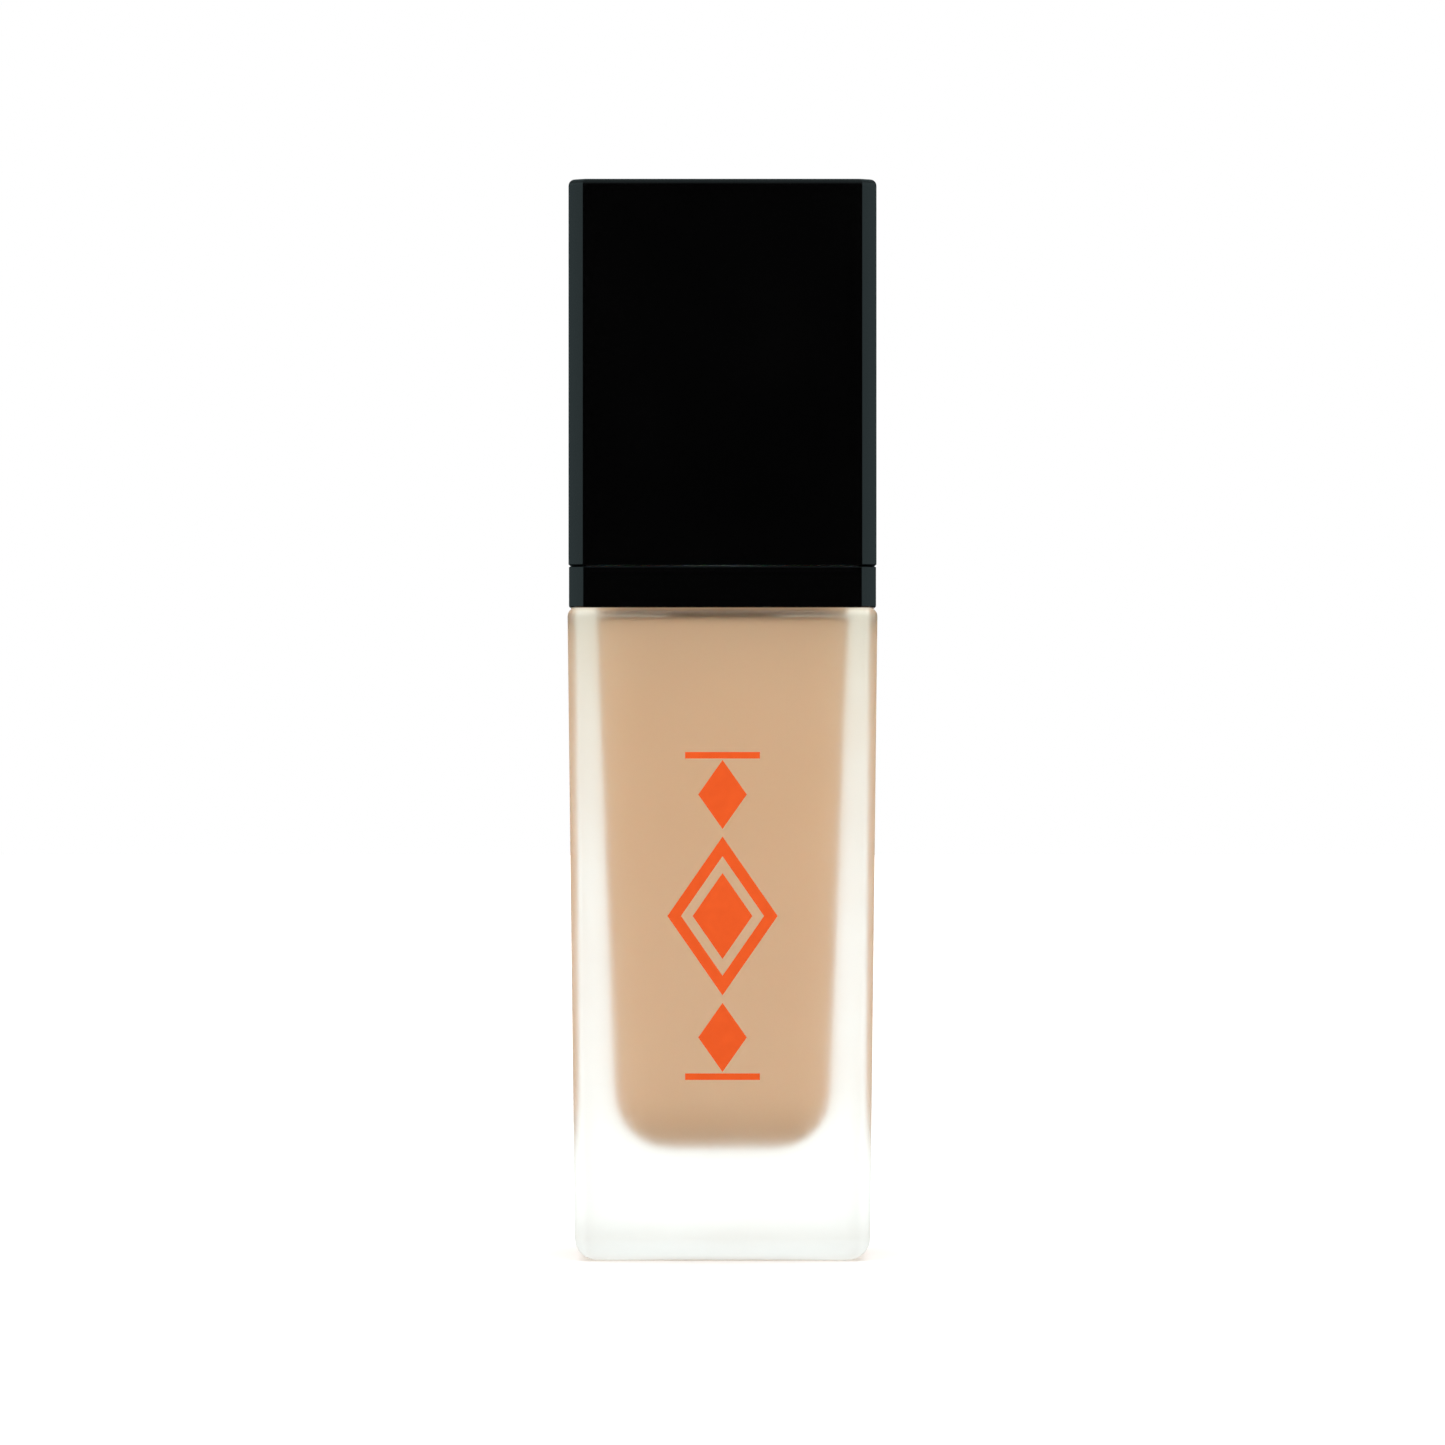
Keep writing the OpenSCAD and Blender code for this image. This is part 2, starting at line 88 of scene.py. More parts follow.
def straight(x, reach):
    """Points up a straight side at x, closest together near its ends."""
    return [(x, reach * math.sin(math.pi * (s / FLAT_STEPS - 0.5))) for s in range(FLAT_STEPS)]


def arc(centre, radius, start, end, steps):
    """Points round an arc from angle start to end in degrees, both included."""
    angles = [math.radians(start + (end - start) * s / steps) for s in range(steps + 1)]
    return [(centre[0] + radius * math.cos(a), centre[1] + radius * math.sin(a)) for a in angles]


def round_square(half, radius):
    """A square with round corners."""
    inner = half - radius
    return on_all_sides(straight(half, inner) + arc((inner, inner), radius, 0, 90, CORNER_STEPS)[:-1])


def cut_square(half, cut, radius=0.12 * MM):
    """A square with cut corners, whose eight upright edges are slightly round."""
    bend = radius * math.tan(math.radians(22.5))
    flat = half - cut - bend
    steps = CORNER_STEPS // 2 - 1
    first = arc((half - radius, flat), radius, 0, 45, steps)
    last = [(y, x) for x, y in reversed(first)]
    middle = [(half - cut / 2, half - cut / 2)]
    return on_all_sides(straight(half, flat) + first + middle + last[:-1])


def circle(radius):
    """A circle whose points pair up with those of the squares."""
    start = math.pi / 4 * FLAT_STEPS / (FLAT_STEPS + CORNER_STEPS)
    angles = [2 * math.pi * s / RING - start for s in range(RING)]
    return [(radius * math.cos(a), radius * math.sin(a)) for a in angles]


def ring(outline, z):
    """An outline at a height."""
    return [(x, y, z) for x, y in outline]


def rounded(corners, closed=False):
    """Points of a profile of (across, up, radius) corners, each rounded by its radius."""
    points = []
    for i, (across, up, radius) in enumerate(corners):
        here = Vector((across, up))
        is_end = not closed and i in (0, len(corners) - 1)
        if is_end or radius == 0:
            points.append(here)
            continue
        back = Vector(corners[i - 1][:2]) - here
        ahead = Vector(corners[(i + 1) % len(corners)][:2]) - here
        half_turn = back.angle(ahead) / 2
        reach = radius / math.tan(half_turn)
        start, end = here + back.normalized() * reach, here + ahead.normalized() * reach
        centre = here + (back.normalized() + ahead.normalized()).normalized() * radius / math.sin(half_turn)
        a, b = start - centre, end - centre
        swing = a.angle(b)
        if back.length > LIP_ROOM * reach:
            points.append(start + back.normalized() * radius * LIP_SUPPORT)
        for s in range(EDGE_STEPS + 1):
            t = s / EDGE_STEPS
            spoke = (a * math.sin((1 - t) * swing) + b * math.sin(t * swing)) / math.sin(swing)
            points.append(centre + spoke)
        if ahead.length > LIP_ROOM * reach:
            points.append(end + ahead.normalized() * radius * LIP_SUPPORT)
    return [tuple(p) for p in points]


def lathe_rings(corners, closed=False):
    """Rings of a turned shape. A corner on the axis becomes a single point."""
    return [ring(circle(r), z) if r > ON_AXIS else [(0, 0, z)] for r, z in rounded(corners, closed)]


# ---------------------------------------------------------------- meshes

def bridge(first, second, base_first, base_second):
    """Faces between two neighbouring rings, either of which may be a single point."""
    if len(first) == 1 and len(second) == 1:
        return []
    n = max(len(first), len(second))
    around = [(j, (j + 1) % n) for j in range(n)]
    if len(first) == 1:
        return [(base_first, base_second + j, base_second + k) for j, k in around]
    if len(second) == 1:
        return [(base_first + k, base_first + j, base_second) for j, k in around]
    return [(base_first + k, base_first + j, base_second + j, base_second + k) for j, k in around]


def loft(rings, closed=False):
    """(points, faces) through rings. A closed loft joins its last ring to its first."""
    points, faces, bases = [], [], []
    for r in rings:
        bases.append(len(points))
        points += r
    pairs = list(zip(range(len(rings)), range(1, len(rings))))
    if closed:
        pairs.append((len(rings) - 1, 0))
    for i, j in pairs:
        faces += bridge(rings[i], rings[j], bases[i], bases[j])
    return points, faces


def together(*parts):
    """One (points, faces) out of several."""
    points, faces = [], []
    for part_points, part_faces in parts:
        faces += [tuple(len(points) + v for v in f) for f in part_faces]
        points += part_points
    return points, faces


def placed(part, place):
    """A part with each of its points moved by the function place."""
    return [place(*p) for p in part[0]], part[1]


def rib(x0, x1, thickness, z0, z1, angle, edge=0.12 * MM):
    """A closed rib along a radius, from x0 to x1 and from z0 to z1, with its edges cut."""
    half = thickness / 2
    sections = [
        (x0, half), (x0 + edge, half), (x1 - edge, half), (x1, half - edge),
        (x1, edge - half), (x1 - edge, -half), (x0 + edge, -half), (x0, -half),
    ]
    shrunk = [(x, y * (1 - edge / half)) for x, y in sections]
    levels = [(shrunk, z0), (sections, z0 + edge), (sections, z1 - edge), (shrunk, z1)]
    rings = [[(x, -y, z) for x, y in outline] for outline, z in levels]
    middle = x0 / 2 + x1 / 2
    points, faces = loft([[(middle, 0, z0)], *rings, [(middle, 0, z1)]])
    c, s = math.cos(angle), math.sin(angle)
    return [(x * c - y * s, x * s + y * c, z) for x, y, z in points], faces


def piece(name, part, body, material, node):
    """A smooth-shaded object that rides on a body and stands for a CAD node."""
    mesh = bpy.data.meshes.new(name)
    mesh.from_pydata(part[0], [], part[1])
    mesh.validate()
    outward(mesh)
    mesh.shade_smooth()
    mesh.set_sharp_from_angle(angle=SMOOTH_ANGLE)
    mesh.materials.append(material)
    made = bpy.data.objects.new(name, mesh)
    bpy.context.scene.collection.objects.link(made)
    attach(made, body)
    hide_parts(node)
    return made


def outward(mesh):
    """Turns every face of the closed shells outwards."""
    shells = bmesh.new()
    shells.from_mesh(mesh)
    bmesh.ops.recalc_face_normals(shells, faces=shells.faces)
    shells.to_mesh(mesh)
    shells.free()


# ---------------------------------------------------------------- materials

class Shader:
    """A material with one Principled shader, and short calls for the nodes that feed it."""

    def __init__(self, name, colour, roughness, **sockets):
        self.material = bpy.data.materials.new(name)
        self.material.use_nodes = True
        self.nodes = self.material.node_tree.nodes
        self.links = self.material.node_tree.links
        self.bsdf = self.nodes["Principled BSDF"]
        self.place = self.nodes.new("ShaderNodeTexCoord").outputs["Object"]
        self.bsdf.inputs["Base Color"].default_value = (*colour, 1)
        self.bsdf.inputs["Roughness"].default_value = roughness
        for socket, value in sockets.items():
            self.bsdf.inputs[socket.replace("_", " ")].default_value = value
        self.material.diffuse_color = (*colour, 1)

    def noise(self, size, detail=3.0, stretch=(1, 1, 1)):
        """Noise whose grains are size metres across, stretched along each axis."""
        mapping = self.nodes.new("ShaderNodeMapping")
        mapping.inputs["Scale"].default_value = [1 / s for s in stretch]
        texture = self.nodes.new("ShaderNodeTexNoise")
        texture.inputs["Scale"].default_value = 1 / size
        texture.inputs["Detail"].default_value = detail
        self.links.new(self.place, mapping.inputs["Vector"])
        self.links.new(mapping.outputs["Vector"], texture.inputs["Vector"])
        return texture.outputs["Fac"]

    def up(self, low, high, power):
        """Height as a value that goes from 0 at low to 1 at high, along a curve of the given power."""
        apart = self.nodes.new("ShaderNodeSeparateXYZ")
        self.links.new(self.place, apart.inputs[0])
        share = self.spread(apart.outputs["Z"], 0, 1, low, high)
        curve = self.nodes.new("ShaderNodeMath")
        curve.operation = "POWER"
        curve.inputs[1].default_value = power
        self.links.new(share, curve.inputs[0])
        return curve.outputs[0]

    def spread(self, value, low, high, near=0.3, far=0.7):
        """A value between near and far, spread from low to high."""
        node = self.nodes.new("ShaderNodeMapRange")
        for socket, number in zip(("From Min", "From Max", "To Min", "To Max"), (near, far, low, high)):
            node.inputs[socket].default_value = number
        self.links.new(value, node.inputs["Value"])
        return node.outputs["Result"]

    def rough(self, value, low, high):
        """Roughness that varies with a value."""
        self.links.new(self.spread(value, low, high), self.bsdf.inputs["Roughness"])
        return self

    def blend(self, first, second, share):
        """A blend of two values, with the given share of the second."""
        mix = self.nodes.new("ShaderNodeMix")
        factor, _, first_socket, second_socket = mix.inputs[:4]
        factor.default_value = share
        self.links.new(first, first_socket)
        self.links.new(second, second_socket)
        return mix.outputs[0]

    def tinted(self, value, first, second, near=0.3, far=0.7):
        """Base colour that varies with a value between near and far."""
        mix = self.nodes.new("ShaderNodeMix")
        mix.data_type = "RGBA"
        colours = [i for i in mix.inputs if i.type == "RGBA"]
        colours[0].default_value = (*first, 1)
        colours[1].default_value = (*second, 1)
        self.links.new(self.spread(value, 0, 1, near, far), mix.inputs["Factor"])
        result = [o for o in mix.outputs if o.type == "RGBA"][0]
        self.links.new(result, self.bsdf.inputs["Base Color"])
        return self

    def bumped(self, value, depth, strength):
        """Relief depth metres deep."""
        node = self.nodes.new("ShaderNodeBump")
        node.inputs["Strength"].default_value = strength
        node.inputs["Distance"].default_value = depth
        self.links.new(value, node.inputs["Height"])
        self.links.new(node.outputs["Normal"], self.bsdf.inputs["Normal"])
        return self

    def lets_lamps_in(self, tint):
        """Lets light through straight to what is behind, so that the contents are lit."""
        clear = self.nodes.new("ShaderNodeBsdfTransparent")
        clear.inputs["Color"].default_value = (*tint, 1)
        path = self.nodes.new("ShaderNodeLightPath")
        mix = self.nodes.new("ShaderNodeMixShader")
        self.links.new(path.outputs["Is Shadow Ray"], mix.inputs[0])
        self.links.new(self.bsdf.outputs[0], mix.inputs[1])
        self.links.new(clear.outputs[0], mix.inputs[2])
        self.links.new(mix.outputs[0], self.nodes["Material Output"].inputs["Surface"])
        return self


PAINTED_LIGHT_LOW, PAINTED_LIGHT_HIGH = 15 * MM, 70 * MM      # heights over which painted shade darkens the glass and painted light makes the liquid paler, towards the shoulder


def etched_glass():
    """Acid-etched glass: a fine frost, a little cloudier in patches, with painted shade that makes it darker
    and more olive towards the shoulder.
    """
    shader = Shader("etched_glass", (0.93, 0.96, 0.92), 0.46, Transmission_Weight=1.0, IOR=1.5)
    height = shader.up(PAINTED_LIGHT_LOW, PAINTED_LIGHT_HIGH, 2.5)
    # painted shade: the base colour turns darker and more olive towards the shoulder
    shader.tinted(height, (0.945, 0.985, 0.96), (0.84, 0.855, 0.735), 0, 1)
    shader.rough(shader.noise(9 * MM, 2), 0.42, 0.5)
    shader.bumped(shader.noise(0.12 * MM, 2), 0.004 * MM, 0.5)
    return shader.lets_lamps_in((0.82, 0.83, 0.8)).material


def clear_glass():
    """Polished glass of the neck and of the inside, with faint flow marks."""
    shader = Shader("clear_glass", (0.965, 0.985, 0.97), 0.03, Transmission_Weight=1.0, IOR=1.5)
    shader.rough(shader.noise(4 * MM, 2, (1, 1, 4)), 0.02, 0.06)
    shader.bumped(shader.noise(6 * MM, 1, (1, 1, 3)), 0.02 * MM, 0.3)
    return shader.lets_lamps_in((0.9, 0.92, 0.9)).material


def foundation_liquid():
    """Opaque liquid with the faint clouds of its pigment, and painted light that makes it paler towards the
    top, to offset the shade of the collar and of the tinted glass.
    """
    shader = Shader(
        "foundation_liquid", (0.7, 0.438, 0.266), 0.35, Subsurface_Weight=0.1, Subsurface_Scale=1 * MM
    )
    clouds = shader.noise(9 * MM, 3, (1, 1, 2))
    # painted light: the liquid grows paler towards the top, blended with the clouds of its pigment
    height = shader.up(PAINTED_LIGHT_LOW, PAINTED_LIGHT_HIGH, 5)
    clouds_and_painted_light = shader.blend(clouds, height, 0.8)
    shader.tinted(clouds_and_painted_light, (0.712, 0.452, 0.28), (0.81, 0.545, 0.38), 0.15, 0.75)
    shader.rough(shader.noise(2 * MM), 0.3, 0.42)
    return shader.material


def orange_ink():
    """Screen-printed ink: even colour, faint mesh relief and slight mottling."""
    shader = Shader("orange_ink", (0.8, 0.095, 0.012), 0.5, Specular_IOR_Level=0.15)
    shader.tinted(shader.noise(1.2 * MM, 4), (0.78, 0.09, 0.011), (0.82, 0.1, 0.013))
    shader.rough(shader.noise(0.3 * MM), 0.42, 0.58)
    shader.bumped(shader.noise(0.15 * MM, 1), 0.003 * MM, 0.6)
    return shader.material


def label_paper():
    """Plain coated label, slightly fibrous."""
    shader = Shader("label_film", (0.82, 0.81, 0.78), 0.55)
    shader.tinted(shader.noise(0.5 * MM, 5), (0.8, 0.79, 0.755), (0.84, 0.83, 0.8))
    shader.bumped(shader.noise(0.2 * MM, 4), 0.004 * MM, 0.6)
    return shader.material


def moulded_black(name, low, high, grain):
    """Injection-moulded black plastic, whose skin carries a trace of flow and of handling."""
    shader = Shader(name, (0.0008, 0.0008, 0.0009), low)
    shader.tinted(shader.noise(20 * MM, 3), (0.0006, 0.0006, 0.0007), (0.0012, 0.0012, 0.0013))
    shader.rough(shader.noise(7 * MM, 5, (1, 1, 2.5)), low, high)
    shader.bumped(shader.noise(grain, 2), 0.002 * MM, 0.35)
    return shader.material


def moulded_plastic(name, colour, low, high, cloud, waxy):
    """Pale polypropylene or polyethylene, lit through a little, with a fine moulded skin."""
    dull = tuple(c * (1 - cloud) for c in colour)
    shader = Shader(name, colour, low, Subsurface_Weight=waxy, Subsurface_Scale=0.8 * MM)
    shader.tinted(shader.noise(5 * MM, 3), dull, colour)
    shader.rough(shader.noise(1.5 * MM, 4), low, high)
    shader.bumped(shader.noise(0.35 * MM, 2), 0.004 * MM, 0.5)
    return shader.material


def steel(name, low, high, marks, stretch):
    """Polished steel with fine drawn marks."""
    shader = Shader(name, (0.56, 0.56, 0.57), low, Metallic=1.0)
    shader.tinted(shader.noise(2 * MM, 3), (0.5, 0.5, 0.51), (0.6, 0.6, 0.61))
    shader.rough(shader.noise(marks, 4, stretch), low, high)
    shader.bumped(shader.noise(marks, 3, stretch), 0.002 * MM, 0.4)
    return shader.material


def floor_paper():
    """Plain pale studio paper."""
    shader = Shader("floor_paper", (0.93, 0.93, 0.93), 0.9, Specular_IOR_Level=0.0)
    shader.tinted(shader.noise(30 * MM, 2), (0.925, 0.925, 0.925), (0.935, 0.935, 0.935))
    return shader.material


GLASS_ETCHED = etched_glass()
GLASS_CLEAR = clear_glass()
GLOSS_BLACK = moulded_black("black_gloss", 0.14, 0.2, 0.8 * MM)
SATIN_BLACK = moulded_black("black_satin", 0.3, 0.42, 0.2 * MM)
NATURAL_PP = moulded_plastic("natural_pp", (0.78, 0.78, 0.75), 0.34, 0.46, 0.05, 0.35)
WHITE_PP = moulded_plastic("white_pp", (0.86, 0.86, 0.85), 0.26, 0.38, 0.03, 0.2)
SOFT_PE = moulded_plastic("soft_pe", (0.8, 0.81, 0.8), 0.42, 0.55, 0.05, 0.4)
CLEAR_PE = moulded_plastic("clear_pe", (0.75, 0.76, 0.74), 0.3, 0.4, 0.04, 0.5)


# ---------------------------------------------------------------- sizes read from the frame

def bottom(node):
    """Height of a node's lowest point."""
    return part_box(node)[0].z


def top(node):
    """Height of a node's highest point."""
    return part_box(node)[1].z


def reach(node):
    """Half the width of a node that is centred on the axis."""
    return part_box(node)[1].x


SHOULDER = bottom("shoulder_collar")
NECK_TOP = top("glass_bottle")
BASE_EDGE_R = 2.5 * MM
CORNER_R = 1.3 * MM
SHOULDER_EDGE_R = 0.9 * MM
DRAFT = 0.8 * MM / SHOULDER       # how far each side draws in for each unit of height
TOP_HALF = reach("glass_bottle") + DRAFT * SHOULDER_EDGE_R
BASE_HALF = TOP_HALF - DRAFT * SHOULDER

CAVITY_FLOOR = bottom("foundation_fill")
CAVITY_TOP = top("foundation_fill")
CAVITY_FLOOR_R = 6.6 * MM
CAVITY_TOP_R = 0.5 * MM
CAVITY_CORNER_R = 4 * MM
CAVITY_DRAFT = 2.15 * MM / (CAVITY_TOP - CAVITY_FLOOR)
CAVITY_TOP_HALF = reach("foundation_fill") + CAVITY_DRAFT * CAVITY_TOP_R
CAVITY_FLOOR_HALF = CAVITY_TOP_HALF - CAVITY_DRAFT * (CAVITY_TOP - CAVITY_FLOOR)

WETTING = 0.03 * MM               # how far the liquid and the label reach into the glass that they wet

THREAD_PITCH = 3.175 * MM
THREAD_TURNS = 1.5
THREAD_STEP = 0.14 * MM           # height between the rings of a threaded stretch
THREAD_FADE = 8                   # how fast a thread grows at its ends, in full heights for each turn

EDGE_CUT = 1.55 * MM              # how far back the cut upright edges of the collar and the overcap start
CUT_LOSS = 2 - math.sqrt(2)       # how much shorter a cut gets for each unit of inset
LEAST_CUT = 0.3 * MM
INNER_EDGE_R = 0.3 * MM           # radius of the upright edges inside the collar and the overcap
CAP_WALL = 1.5 * MM
CAP_INNER_CUT = EDGE_CUT * 0.6
COLLAR_INNER_CUT = EDGE_CUT * 0.7
RIB_T = 1 * MM
RIB_ROOT = 0.4 * MM               # how far a rib is sunk into the wall that it grows from


# ---------------------------------------------------------------- glass bottle and its contents

def drafted_rings(profile, low_half, draft, low_z, corner_r):
    """Square rings through a profile, whose corner radius shrinks by the profile's inset from the side."""
    rings = []
    for half, z in profile:
        side = low_half + draft * (z - low_z)
        rings.append(ring(round_square(half, max(corner_r / 3, corner_r - max(0, side - half))), z))
    return rings


def thread_radius(x, y, z, root, crest, start, root_half, crest_half):
    """Radius of a threaded surface at a point of it. The thread fades in and out at its ends."""
    turn = math.atan2(y, x) / (2 * math.pi) % 1
    most = 0
    for whole in range(math.ceil(THREAD_TURNS)):
        along = turn + whole
        if along > THREAD_TURNS:
            continue
        off = abs(z - start - THREAD_PITCH * along)
        flank = min(1, max(0, (root_half - off) / (root_half - crest_half)))
        fade = min(1, along * THREAD_FADE, (THREAD_TURNS - along) * THREAD_FADE)
        most = max(most, flank * flank * (3 - 2 * flank) * fade)
    return root + (crest - root) * most


def threaded_rings(z0, z1, root, crest, start, root_half, crest_half):
    """Rings of a cylinder from z0 to z1, whose thread goes from radius root to radius crest.

    The thread's middle starts at the height start, and its halves are root_half and crest_half tall.
    """
    count = round(abs(z1 - z0) / THREAD_STEP)
    rings = []
    for i in range(count + 1):
        z = z0 + (z1 - z0) * i / count
        around = []
        for x, y in circle(1):
            r = thread_radius(x, y, z, root, crest, start, root_half, crest_half)
            around.append((r * x, r * y, z))
        rings.append(around)
    return rings


def cavity_rings(grow=0.0):
    """Rings of the cavity from the middle of its floor to the edge of its roof, or of one that is larger."""
    floor, roof = CAVITY_FLOOR - grow, CAVITY_TOP + grow
    floor_half, top_half = CAVITY_FLOOR_HALF + grow, CAVITY_TOP_HALF + grow
    floor_r = 0.93 * CAVITY_FLOOR_R      # smaller, because the sides lean out from the floor
    profile = rounded([
        (CAVITY_FLOOR_HALF - 0.95 * CAVITY_FLOOR_R, floor, 0),
        (floor_half, floor, floor_r),
        (top_half, roof, CAVITY_TOP_R),
        (top_half - 2 * CAVITY_TOP_R, roof, 0),
    ])
    sides = drafted_rings(profile, floor_half, CAVITY_DRAFT, floor, CAVITY_CORNER_R)
    centre_half, centre_r = 2.5 * MM, 0.5 * MM
    return [[(0, 0, floor)], ring(round_square(centre_half, centre_r), floor), *sides]


def glass_bottle():
    """Bottle with a recess under its base, a bead and a thread on its neck, and the cavity inside."""
    punt = top("base_label") - WETTING
    punt_half = reach("base_label") + 0.5 * MM
    punt_edge = 0.28 * MM
    punt_corner = 2.5 * MM
    bead_r, bead_h = 9.85 * MM, 2.4 * MM
    neck_r, bore_r = 8.7 * MM, 5.9 * MM
    crest_r, thread_start, run_out = 9.75 * MM, SHOULDER + 6.6 * MM, 1.4 * MM
    root_half, crest_half = 1.1 * MM, 0.4 * MM

    recess = rounded([
        (0.5 * punt_half, punt, 0), (punt_half, punt, punt_edge), (punt_half, 0, punt_edge),
        (punt_half + 1.5 * MM, 0, 0),
    ])
    under = [[(0, 0, punt)]]
    under += [ring(round_square(half, punt_corner * half / punt_half), z) for half, z in recess]
    side = rounded([
        (BASE_HALF - 1.2 * BASE_EDGE_R, 0, 0), (BASE_HALF, 0, BASE_EDGE_R),
        (TOP_HALF, SHOULDER, SHOULDER_EDGE_R), (TOP_HALF - 4 * SHOULDER_EDGE_R, SHOULDER, 0),
    ])
    outside = drafted_rings(side, BASE_HALF, DRAFT, 0, CORNER_R)
    thread_low = thread_start - run_out
    thread_high = thread_start + THREAD_TURNS * THREAD_PITCH + run_out
    neck = lathe_rings([
        (bead_r + 0.6 * MM, SHOULDER, 0), (bead_r, SHOULDER, 0.25 * MM),
        (bead_r, SHOULDER + bead_h, 0.35 * MM), (neck_r, SHOULDER + bead_h, 0.25 * MM),
        (neck_r, thread_low - 0.1 * MM, 0),
    ])
    neck += threaded_rings(thread_low, thread_high, neck_r, crest_r, thread_start, root_half, crest_half)
    neck += lathe_rings([
        (neck_r, thread_high + 0.1 * MM, 0), (neck_r, NECK_TOP, 0.5 * MM), (bore_r, NECK_TOP, 0.6 * MM),
        (bore_r, CAVITY_TOP, 0.5 * MM), (bore_r + 2 * MM, CAVITY_TOP, 0),
    ])
    inside = list(reversed(cavity_rings()))
    part = loft(under + outside + neck + inside)
    made = piece("frosted_bottle", part, "bottle", GLASS_ETCHED, "glass_bottle")
    made.data.materials.append(GLASS_CLEAR)
    around, clear = 1 * MM, 0.1 * MM
    for face in made.data.polygons:
        x, y, z = face.center
        across = max(abs(x), abs(y))
        in_cavity = across < CAVITY_TOP_HALF + 2 * clear and CAVITY_FLOOR - clear < z < CAVITY_TOP + clear
        on_neck = across < bead_r + around and z > SHOULDER - clear / 2
        in_bore = across < bore_r + around and z > CAVITY_TOP - around
        if in_cavity or on_neck or in_bore:
            face.material_index = 1
    return made


def foundation_fill():
    """Liquid that wets the glass, so it reaches a hair into it, with a well for the pump and its tube."""
    edge = 0.3 * MM
    housing_r, foot_r, tube_r = 5 * MM, 2.9 * MM, 1.8 * MM
    surface = CAVITY_TOP + WETTING
    step = bottom("inlet_ball") + 0.15 * MM
    housing_foot = bottom("pump_housing") - 0.2 * MM
    tube_foot = CAVITY_FLOOR + 1 * MM
    well = [
        (7 * MM, surface, 0), (housing_r, surface, edge), (housing_r, step, edge), (foot_r, step, edge),
        (foot_r, housing_foot, edge), (tube_r, housing_foot, edge), (tube_r, tube_foot, edge),
        (0, tube_foot, 0),
    ]
    part = loft(cavity_rings(WETTING) + lathe_rings(well))
    return piece("foundation_liquid", part, "bottle", foundation_liquid(), "foundation_fill")


# ---------------------------------------------------------------- collar and overcap

def cut_ring(half, z, outer_half, cut):
    """A ring with cut corners, whose cut shrinks as it draws in from the outer side."""
    return ring(cut_square(half, max(LEAST_CUT, cut - CUT_LOSS * (outer_half - half))), z)


def inner_rings(profile, cut):
    """Rings of an inside wall, whose cut corners keep their size."""
    return [ring(cut_square(half, cut, INNER_EDGE_R), z) for half, z in profile]


def corner_ribs(start, end, z0, z1):
    """Ribs towards the four corners."""
    return [rib(start, end, RIB_T, z0, z1, math.radians(a)) for a in range(45, 360, 90)]


def shoulder_collar():
    """Square band with a round boss on it, hollow underneath, with ribs from the boss to the corners."""
    half = reach("shoulder_collar")
    seam_z = bottom("overcap_liner")
    plate_t, rib_gap = 1.2 * MM, 0.3 * MM
    inner_half = half - 1.4 * MM
    plate = seam_z - plate_t
    boss_r, boss_in_r, boss_top = 13.55 * MM, 12.3 * MM, top("shoulder_collar")
    bead_r, seat = 9.86 * MM, SHOULDER + plate_t
    outer = rounded([
        (inner_half + 0.3 * MM, SHOULDER, 0), (half, SHOULDER, 0.2 * MM), (half, seam_z, 0.12 * MM),
        (half - 1 * MM, seam_z, 0),
    ])
    band = [cut_ring(h, z, half, EDGE_CUT) for h, z in outer]
    boss = lathe_rings([
        (boss_r + 0.4 * MM, seam_z, 0), (boss_r, seam_z, 0.2 * MM), (boss_r, boss_top, 0.45 * MM),
        (boss_in_r, boss_top, 0.3 * MM), (boss_in_r, seat, 0.3 * MM), (bead_r, seat, 0.2 * MM),
        (bead_r, SHOULDER, 0.15 * MM), (boss_r, SHOULDER, 0.2 * MM), (boss_r, plate, 0.2 * MM),
        (boss_r + 0.3 * MM, plate, 0),
    ])
    pocket = rounded([
        (inner_half - 0.6 * MM, plate, 0), (inner_half, plate, 0.25 * MM), (inner_half, SHOULDER, 0.1 * MM),
        (inner_half + 0.25 * MM, SHOULDER, 0),
    ])
    inner = inner_rings(pocket, COLLAR_INNER_CUT)
    corner = (2 * inner_half - COLLAR_INNER_CUT) / math.sqrt(2)
    ribs = corner_ribs(boss_r - RIB_ROOT, corner + RIB_ROOT, SHOULDER + rib_gap, seam_z - rib_gap)
    part = together(loft(band + boss + inner, closed=True), *ribs)
    return piece("square_collar", part, "bottle", GLOSS_BLACK, "shoulder_collar")


def overcap_shell():
    """Tall square cap, open underneath."""
    half, low, high = reach("overcap_shell"), bottom("overcap_shell"), top("overcap_shell")
    roof = high - 1.8 * MM
    rim, inner_half = half - CAP_WALL / 2, half - CAP_WALL
    flat = 0.6                           # half width of the ring in the middle of each face, in half faces
    outer = rounded([
        (half * flat, high, 0), (half, high, 0.7 * MM), (half, low, 0.15 * MM), (rim, low, 0),
    ])
    rings = [[(0, 0, high)]] + [cut_ring(h, z, half, EDGE_CUT) for h, z in outer]
    inner = rounded([
        (rim, low, 0), (inner_half, low, 0.2 * MM), (inner_half, roof, 0.4 * MM),
        (inner_half * flat, roof, 0),
    ])[1:]
    rings += inner_rings(inner, CAP_INNER_CUT)
    rings.append([(0, 0, roof)])
    return piece("overcap", loft(rings), "overcap", GLOSS_BLACK, "overcap_shell")


